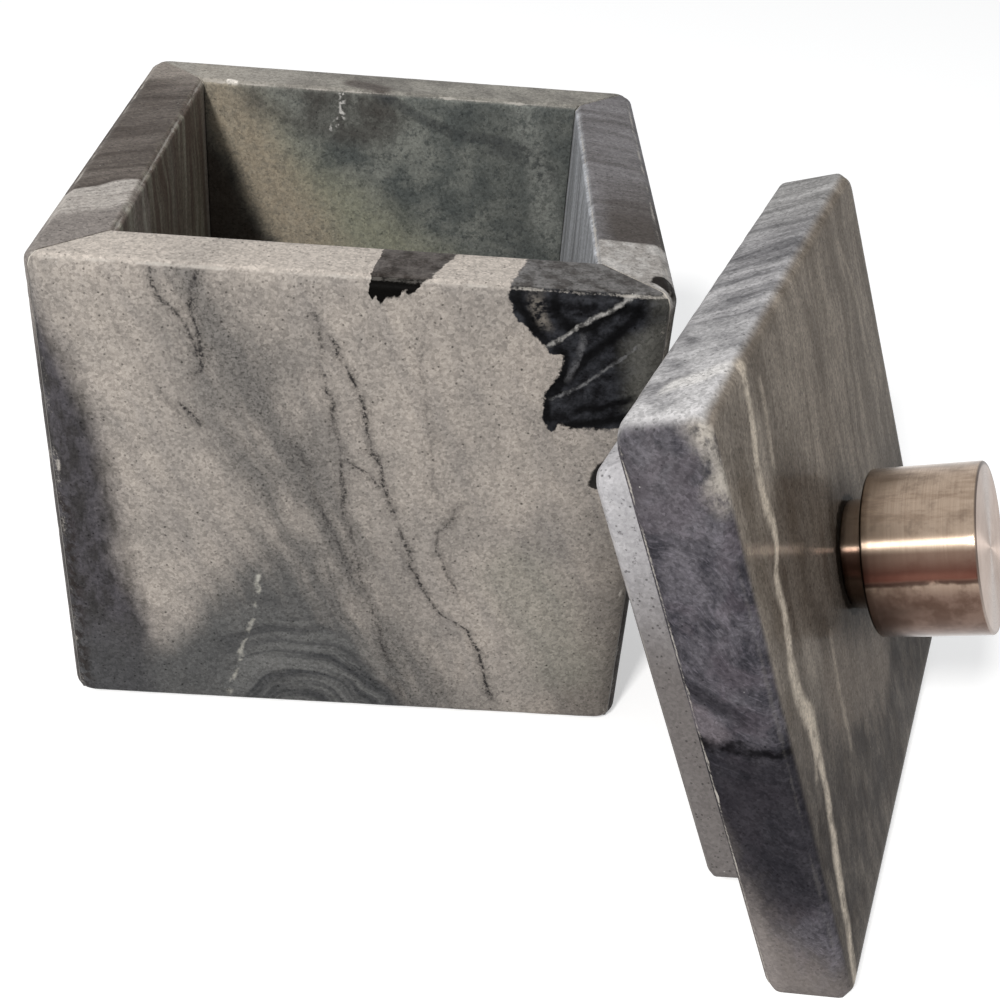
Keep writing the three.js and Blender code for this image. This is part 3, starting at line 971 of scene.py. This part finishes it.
colour = lay(colour, (138, 132, 128), near_front * 0.75)
corner_dark = rise(left.y, -44, -48) * rise(left.z, 80, 68)
colour = lay(colour, (58, 54, 54), corner_dark * 0.9)
inside = rise(left.x, -40.0, -38.7)
upright = left.streaks(3, 0.6, ly / 4.5, lz / 70, 0.0)
inner_tone = lay((104, 90, 80), (168, 164, 148), rise(upright, 0.42, 0.66))
colour = lay(colour, inner_tone, 0.66 * inside)
colour = lay(colour, (150, 142, 134), 0.7 * rise(ly, 32, 44))
pale_streak = rise(abs(ly - 5 + 0.02 * lz), 3.4, 0.8) * inside
colour = lay(colour, (112, 106, 98), pale_streak * 0.4)
rim = rim_of(left)
dress(walls["left_wall"], finish_stone(left, colour, honed_and_lit=rim * 0.05))
print("Left wall:", len(left.tree.nodes), "nodes")

# %% [markdown]
# The right wall is greyer, and browner towards the front, with a pale patch at its front end and a
# burnt spot on its corner. Its inner side is a light blue-grey.

# %% Right wall
right = Recipe("right_marble")
swayed = wobble(wobble(right.place, 26, 8.0), 5, 1.4)
rx, ry, rz = parts(swayed)
bed = ry + 0.3 * (rx - HALF) + 0.05 * rz
stripes = right.streaks(4, 0.6, bed / 5.5, rz / 80, rx / 40)
fine_stripes = right.streaks(3, 0.6, bed / 0.9, rz / 40, rx / 25)
colour = lay((78, 76, 78), (120, 118, 121), rise(stripes, 0.32, 0.68))
colour = lay(colour, (82, 80, 80), 0.4 * rise(fine_stripes, 0.5, 0.75))
brown = rise(ry, 8, -24) * rise(right.x, 39, 43)
colour = lay(colour, (50, 44, 41), brown * 0.88)
patch = rise(ry + 0.2 * (rx - 45), -29.8, -30.8) * rise(right.x, 38.6, 39.6)
clouded = lay((146, 142, 138), (178, 175, 172), rise(right.noise(3.5, 4, 0.6), 0.36, 0.62))
clouded = lay(clouded, (122, 118, 110), rise(right.z, 88, 83))
colour = lay(colour, clouded, patch * rise(right.z, 20, 62))
burnt = reach(right.point(right.x, 0.0, right.y), (48.6, -44.6), (50.8, -47.5))
burnt = rise(burnt + 1.6 * (right.noise(1.4, 3) - 0.5), 1.9, 1.5)
colour = lay(colour, (24, 19, 16), burnt * rise(right.z, 86.6, 88.4))
inner = rise(right.x, 39.6, 38.6)
colour = lay(colour, (196, 199, 204), inner * rise(stripes, 0.35, 0.6, 0.35, 0.85))
rim = rim_of(right)
honed_and_lit = rim * (0.05 - 0.05 * burnt)
dress(walls["right_wall"], finish_stone(right, colour, chalk=0.6 - 0.4 * burnt, honed_and_lit=honed_and_lit))
print("Right wall:", len(right.tree.nodes), "nodes")

# %% [markdown]
# ## Back wall
# Inside, a beam of greenish beige slants down the back wall, with speckled blue-grey stone on its
# right and darker clouds near the rim. On the inner face the beam is painted light, a lit band beside a
# painted shadow of the left wall, and through the rest of the slab it is a beige band. Both are traced
# like the bands of the front wall.

# %% Back wall
back = Recipe("back_marble")
depth = back.y - (HALF - WALL)
flat = back.point(back.x + 0.2 * depth, 0.0, back.z)
broad = wobble(flat, 16, 6.0)
bx, _, bz = parts(broad)
cloud = back.noise(9, 4, 0.62, place=broad)
speckle = back.noise(1.3, 3, 0.7)
colour = lay((88, 92, 90), (126, 128, 122), rise(cloud, 0.35, 0.66))
colour = lay(colour, (84, 87, 85), 0.6 * rise(bx + 0.3 * (bz - 60), 14, 30))
colour = lay(colour, (66, 70, 70), 0.6 * rise(speckle, 0.52, 0.66))
beam_left = path(bz, [(10, -2), (40, -17), (55, -23), (58, -25), (70.6, -31), (80, -36), (88, -39)])
beam_right = path(bz, [
    (10, 50), (40, 30), (55, 13), (60, 6), (68, -5), (74, -14), (80.5, -21), (88, -29.5),
])
uneven = 7 * (cloud - 0.5)
# The beam is painted light: a lit band beside the left wall's shadow on the inner face, which runs on through
# the slab as a beige band.
beige_band_and_painted_light = rise(bx + uneven - beam_left, -5, 1) * rise(beam_right - bx + uneven, -8, 12)
beige_and_painted_light_tone = lay((143, 143, 126), (160, 149, 131), rise(bx - beam_left, 20, 5))
colour = lay(colour, beige_and_painted_light_tone, beige_band_and_painted_light * rise(speckle, 0.7, 0.4, 0.6, 0.95))
# Painted shadow: the shade that the left wall casts on the inner face, left of the beam.
painted_wall_shadow = rise(bx - beam_left, 1, -6) * rise(back.y, 41, 39)
colour = lay(colour, (70, 59, 50), 0.8 * painted_wall_shadow)
gloom = rise(reach(broad, (-25, 89), (-3, 83)), 9, 4)
colour = lay(colour, (78, 74, 70), gloom * 0.8 * rise(cloud, 0.8, 0.3))
for points, width, strength in (
    ([(0.0, 87.5), (7.2, 82.6), (12.6, 81.2), (23.2, 81.0)], 1.6, 0.45),
    ([(23, 79), (30, 77), (34, 73)], 3.6, 0.5),
    ([(-9.2, 92), (-1.0, 88)], 3.0, 0.6),
):
    colour = lay(colour, (56, 58, 60), strength * rise(strokes(broad, points), width, 0.6))
pale = rise(reach(broad, (27, 90), (36, 60)), 5, 1) * rise(speckle, 0.35, 0.6)
colour = lay(colour, (150, 152, 146), pale * 0.5)
flecks = rise(strokes(flat, [(-10.0, 88), (-10.0, 83.1), (-12.1, 80.7)]), 1.0, 0.2)
colour = lay(colour, (190, 188, 184), flecks * rise(back.noise(0.9, 2), 0.5, 0.6))
rim = rim_of(back)
spot = rise(reach(back.point(back.x, 0.0, back.y), (-8, 43), (-2, 40.6)), 3.2, 1.0)
top = lay((154, 150, 142), (122, 118, 112), rise(back.noise(7, 3), 0.35, 0.7))
top = lay(top, (176, 170, 162), 0.5 * rise(back.x, -8, -30))
top = lay(top, (84, 76, 72), spot * 0.85)
chip = rise(reach(back.point(back.x, 0.0, back.y), (-33.2, 39.4), (-32.2, 39.0)), 0.9, 0.5)
top = lay(top, (236, 230, 222), chip)
colour = lay(colour, top, rim * 0.85)
dress(walls["back_wall"], finish_stone(back, colour, grain=0.42, specks=0.32))
print("Back wall:", len(back.tree.nodes), "nodes")

# %% [markdown]
# ## Floor slab and resin
# The floor of the canister is a plain slab of the same stone. The CAD node keeps its own shape, which
# is right as it is, and only gets the marble. The resin is a pale, slightly glossy fill.

# %% Floor slab and resin
base = Recipe("floor_marble")
swept = wobble(wobble(base.place, 22, 12.0), 4, 2.0)
sx, sy, sz = parts(swept)
across, along = sx * 0.8 + sy * 0.6, sy * 0.8 - sx * 0.6
stripes = base.streaks(4, 0.6, across / 6, along / 40, sz / 10)
colour = lay((100, 97, 94), (150, 144, 137), rise(stripes, 0.33, 0.68))
thread = rise(abs(stripes - 0.52), 0.012, 0.002)
colour = lay(colour, (70, 68, 67), thread * 0.5)
dress(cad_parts["floor_slab"], finish_stone(base, colour))

glue = Recipe("pale_resin")
shade = lay((196, 190, 180), (150, 142, 130), rise(glue.noise(2.5, 3), 0.4, 0.7))
shade = lay(shade, (74, 71, 69), 0.9 * rise(glue.z, HEIGHT - 1.6, HEIGHT - 4.0))
pits = glue.bump(0.5, 0.05, glue.noise(0.6, 2))
glue.surface({"Base Color": shade, "Roughness": 0.3 + 0.3 * glue.noise(3, 2), "Normal": pits})
for sheet in resins:
    dress(sheet, glue.material)
print("Floor slab:", len(base.tree.nodes), "nodes; resin:", len(glue.tree.nodes))

# %% [markdown]
# ## Lid
# The lid is bluish-grey stone with its bedding on edge: stripes on the upper side, long streaks on the
# face, and a mottled near side. Round the foot of the knob's neck the face is darker in a ragged ring.
# Beside the neck and low on the face it is painted darker, as painted dark reflections.

# %% Lid: stripes and face
lid = Recipe("lid_marble")
swayed = wobble(wobble(lid.place, 30, 14.0), 6, 3.0)
a, b, n = parts(swayed)
bed = a - 0.5 * n - 0.1 * (b - LID_HALF)
stripes = lid.streaks(4, 0.62, bed / 5.5, b / 50, n / 40)
fine_stripes = lid.streaks(3, 0.6, bed / 1.3, b / 22, n / 22)
mottle = lid.noise(4.5, 5, 0.7, place=lid.stretched(1.0, 0.6, 1.0))
blotch = lid.noise(11, 4, 0.6, place=swayed)
colour = lay((106, 105, 107), (178, 176, 177), rise(stripes + 0.25 * (mottle - 0.5), 0.34, 0.64))
colour = lay(colour, (84, 84, 87), 0.45 * rise(fine_stripes, 0.5, 0.7))
colour = lay(colour, (216, 214, 214), rise(a, 12, -44, 0.0, 0.7) * rise(blotch, 0.36, 0.58))
colour = lay(colour, (184, 182, 178), 0.35 * rise(a, 8, 44))
pale_streak = vein(n, a, [(2.5, -37.7), (8, -35.4), (13.5, -31)], 1.0, 2.0)
colour = lay(colour, (220, 217, 214), 0.8 * pale_streak)
face = rise(lid.z, LID_THICK - 1.6, LID_THICK - 0.3)
face_tone = lay((110, 101, 91), (144, 134, 122), rise(stripes + 0.5 * (blotch - 0.5), 0.34, 0.68))
face_tone = lay(face_tone, (86, 77, 69), 0.34 * rise(fine_stripes, 0.46, 0.72))
# Painted dark reflection: the face beside the knob's neck is darkened where it would mirror the knob.
knob_reflection_reach = reach(lid.point(lid.x, 0.0, lid.y), (0.0, 48.0), (-27.0, 68.0)) + 5 * (mottle - 0.5)
face_tone = lay(face_tone, (66, 55, 45), rise(knob_reflection_reach, 16, 9.5) * 0.68)
# Painted dark reflection: the lower part of the face is darkened where it would mirror the shaded floor.
dark_reflection_low_part = rise(b, 64, 28) * rise(b, -4, 12, 0.7, 1.0)
face_tone = lay(face_tone, (38, 29, 22), dark_reflection_low_part * rise(mottle, 0.32, 0.64, 0.66, 0.98))
lighter = reach(lid.point(lid.x, 0.0, lid.y), (-24.0, 40.0), (4.0, 25.0)) + 8 * (mottle - 0.5)
face_tone = lay(face_tone, (136, 125, 114), 0.5 * rise(lighter, 11, 3))
colour = lay(colour, face_tone, face * 0.94)
# A ragged darker ring round the foot of the knob's neck.
around = length(lid.point(lid.x, lid.y - LID_HALF, 0.0))
dark_neck_ring = rise(around + 2.0 * (lid.noise(1.1, 4, 0.7) - 0.5), NECK + 1.3, NECK + 0.5)
colour = lay(colour, (26, 20, 15), 0.85 * dark_neck_ring)
print("Lid, stripes and face:", len(lid.tree.nodes), "nodes")

# %% [markdown]
# The near side was sawn along the bedding, so it shows clouds where the upper side shows stripes:
# violet-grey stone, paler at the foot and in one corner, with a dark broken line across it.

# %% Lid: near side
near = rise(lid.x, -LID_HALF + 3.2, -LID_HALF + 1.2)
side_place = lid.point(b, 0.0, n)
violet = lay((54, 53, 58), (98, 95, 100), rise(mottle, 0.34, 0.68))
slanted = lid.streaks(3, 0.7, (b + n) / 0.8, (b - n) / 4.0, lid.x / 4)
violet = lay(violet, (118, 113, 121), 0.34 * rise(slanted, 0.5, 0.66))
violet = lay(violet, (42, 40, 46), 0.34 * rise(slanted, 0.48, 0.34))
violet = lay(violet, (90, 82, 88), 0.35 * rise(blotch, 0.5, 0.62))
violet = lay(violet, (32, 31, 35), 0.8 * rise(reach(side_place, (40, 4), (26, 6)), 16, 5))
foot = rise(b + 1.4 * n + 22 * (mottle - 0.5), 37, 11)
violet = lay(violet, (122, 115, 111), 0.85 * foot)
violet = lay(violet, (148, 141, 138), 0.5 * foot * rise(lid.z, 4.5, 1.0))
violet = lay(violet, (128, 126, 127), 0.12 * rise(b, 76, 94) * rise(blotch, 0.38, 0.56))
violet = lay(violet, (40, 38, 42), 0.7 * vein(n, b, [(-1, 65), (2.1, 61), (5.0, 58.2), (8, 56)], 1.2, 2.5))
rosy = rise(reach(side_place, (57, 0), (53, 2.0)), 3.2, 1.0)
violet = lay(violet, (122, 114, 118), 0.45 * rosy)
torn = b + 5 * (lid.noise(2.2, 4, 0.7) - 0.5)
broken = vein(n, torn, [(-1, 51.5), (5.7, 50.1), (9.4, 47.6), (14, 45)], 1.1, 1.0)
broken = broken * rise(lid.noise(3.2, 3), 0.36, 0.52, 0.3, 1.0)
violet = lay(violet, (16, 15, 17), 0.9 * broken)
light_corner = rise(reach(side_place, (104, 12), (90, 14)), 7.5, 3.0)
violet = lay(violet, (176, 169, 159), 0.9 * light_corner * rise(mottle, 0.34, 0.54))
colour = lay(colour, violet, near)
print("Lid, near side:", len(lid.tree.nodes), "nodes")

# %% [markdown]
# A beige vein runs down the face beside the near edge, and fainter ones lie about it. The large one
# swells and narrows, so its half width is a traced line as well.

# %% Lid: veins
swell = path(lid.y, [
    (0, 1.3), (18, 1.2), (32, 1.1), (40, 1.5), (48, 2.3), (54, 2.0), (62, 1.1), (70, 0.8), (80, 1.2),
    (90, 0.9), (100, 1.0),
])
for points, half_width, strength in (
    ([(100.2, -31.5), (90.5, -33.0), (83, -34.8), (76, -33.4), (70.6, -36.8), (60.7, -39.5), (54.2, -41.4),
      (42.9, -37.9), (32.7, -38.8), (20.9, -40.9), (10.7, -43.8), (4.5, -45), (0, -46.5)], swell, 0.9),
    ([(49.2, -38.0), (41.6, -39.5), (37.4, -41.5)], 0.4, 0.5),
    ([(95.3, 31.1), (80.3, 36.7), (60, 39)], 0.5, 0.2),
    ([(95.0, -25.4), (82.4, -26.8)], 0.6, 0.35),
    ([(48.7, -19.9), (37.8, -21.7), (27.8, -22.3)], 0.6, 0.3),
):
    line = vein(lid.y, 0.55 * lid.x + 0.45 * a + 2.4 * (mottle - 0.5), points, half_width, 1.1)
    line = line * rise(lid.noise(3.0, 3), 0.3, 0.55, 0.45, 1.0) * strength
    colour = lay(colour, (204, 192, 176), line * face)
polish = 0.4 - 0.36 * face
chalk = rise(lid.z, 7, 5, 0.06, 0.9)
grain = 0.42 - 0.17 * near * foot
dress(lid_piece, finish_stone(lid, colour, polish=polish, grain=grain, specks=0.4, chalk=chalk, shine=0.003))
print("Lid slab:", len(lid.tree.nodes), "nodes")

# %% [markdown]
# The plug is cut from a paler piece, with its bedding on edge like the lid's. It has fine dark pores,
# and turns darker and browner towards its lower edge.

# %% Plug's marble
plug = Recipe("plug_marble")
swayed = wobble(wobble(plug.place, 30, 12.0), 5, 2.0)
a, b, n = parts(swayed)
bed = a - 0.5 * n - 0.1 * (b - LID_HALF)
stripes = plug.streaks(4, 0.6, bed / 5, b / 60, n / 60)
colour = lay((154, 153, 156), (196, 194, 196), rise(stripes, 0.34, 0.66))
pores = rise(plug.noise(1.3, 3, 0.7), 0.6, 0.7)
colour = lay(colour, (84, 82, 84), pores * 0.7)
colour = lay(colour, (106, 101, 99), rise(b, 90, 50) * 0.95)
dress(plug_piece, finish_stone(plug, colour, polish=0.42, grain=0.24, chalk=0.3))
print("Plug:", len(plug.tree.nodes), "nodes")

# %% [markdown]
# ## Metal
# The knob is brushed round its axis and a little tarnished. Brushing makes a highlight spread along
# the axis, which Blender calls anisotropy: the tangent tells the shader which way the grooves run. The
# fine rings themselves are noise that changes fast along the axis and slowly round it.

# %% Brushed knob
metal = Recipe("brushed_knob")
metal.surface({"Metallic": 1.0, "Anisotropic": 0.9, "Anisotropic Rotation": 0.25})
rings = metal.noise(1.0, 4, 0.7, place=metal.stretched(0.05, 0.05, 5.0))
broad_rings = metal.noise(1.0, 3, 0.6, place=metal.stretched(0.03, 0.03, 0.9))
tarnish = metal.noise(4.5, 4, 0.65)
colour = lay((183, 164, 146), (170, 150, 132), rise(rings, 0.3, 0.7))
stains = metal.noise(1.0, 4, 0.65, place=metal.stretched(0.5, 0.5, 0.12))
colour = lay(colour, (116, 92, 74), 0.38 * rise(stains, 0.44, 0.64) * rise(metal.y, 9, 11.5))
# The underside is painted darker, a painted dark reflection of the floor below, and its tarnish is heavier
# there.
underside_reflection_and_tarnish = rise(metal.y, 5, -1)
colour = lay(colour, (100, 78, 70), 0.85 * underside_reflection_and_tarnish)
colour = lay(colour, (82, 62, 52), (0.4 + 0.3 * underside_reflection_and_tarnish) * rise(tarnish + 0.08 * underside_reflection_and_tarnish, 0.46, 0.7))
# Painted reflections: a copper-brown band and a dark line along the axis, on the side that faces the front,
# stand in for dark surroundings mirrored in the metal.
band = metal.x * 0.309 + metal.y * 0.951
on_near_side = rise(metal.x, 0, -5)
painted_reflection_band = rise(band, 3.6, 2.6, 0.0, 0.85) * rise(band, 3.0, -0.5, 0.7, 1.1)
painted_reflection_band = painted_reflection_band * rise(band, -2.4, -1.2) * on_near_side
colour = lay(colour, (92, 55, 46), painted_reflection_band)
painted_reflection_line = rise(abs(band + 1.9 + 0.9 * (tarnish - 0.5)), 0.7, 0.1) * on_near_side
colour = lay(colour, (44, 26, 22), 0.75 * painted_reflection_line * rise(tarnish, 0.3, 0.46))
on_neck = rise(metal.z, SHOULDER + 0.4, SHOULDER - 0.4)
colour = lay(colour, (58, 45, 34), on_neck * rise(metal.y + 14 * (tarnish - 0.5), 4, -3, 0.35, 0.9))
# Painted shade in the step where the neck meets the head.
painted_step_shade = rise(abs(metal.z - SHOULDER), 0.5, 0.2)
colour = lay(colour, (30, 24, 20), painted_step_shade * 0.85)
radius = length(metal.stretched(1, 1, 0))
end_face = rise(metal.z, TOP - 0.35, TOP - 0.1)
turning = metal.streaks(3, 0.6, radius / 0.25, 0.0, 0.0)
end_tone = lay((190, 176, 167), (168, 153, 144), rise(turning + 0.6 * tarnish, 0.6, 1.0))
end_tone = lay(end_tone, (70, 56, 48), rise(radius, HEAD - 0.8, HEAD - 0.4) * rise(metal.y, -6, 8, 0.25, 0.8))
colour = lay(colour, end_tone, end_face)
height = rings * 0.6 + broad_rings * 0.6 + end_face * turning * 0.8
metal.surface({
    "Base Color": colour,
    "Roughness": 0.125 + 0.04 * rings + 0.09 * tarnish + 0.3 * end_face,
    "Tangent": metal.node("Tangent", direction_type="RADIAL", axis="Z"),
    "Normal": metal.bump(0.25, 0.02, height),
})
dress(knob, metal.material)
print("Knob metal:", len(metal.tree.nodes), "nodes")

# %% [markdown]
# The knob is held from below by a slotted screw on a washer. Both keep their CAD shapes and get plain
# plated steel, with marks of handling.

# %% Screw and washer


def plated(name, light, dark, rough):
    """Plain plated steel with handling marks, for the small fasteners under the lid."""
    steel = Recipe(name)
    marks = steel.noise(1.0, 4, 0.65, place=steel.stretched(2.2, 0.5, 0.5))
    stains = steel.noise(2.4, 3)
    shade = lay(light, dark, rise(marks + 0.5 * stains, 0.6, 0.95))
    dents = steel.bump(0.3, 0.04, marks + stains)
    steel.surface({"Metallic": 1.0, "Base Color": shade, "Roughness": rough + 0.2 * marks, "Normal": dents})
    return steel.material


dress(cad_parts["knob_screw"], plated("plated_screw", (205, 200, 190), (140, 132, 122), 0.25))
dress(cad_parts["screw_washer"], plated("plated_washer", (208, 208, 210), (150, 150, 152), 0.3))
print("Two fasteners plated")
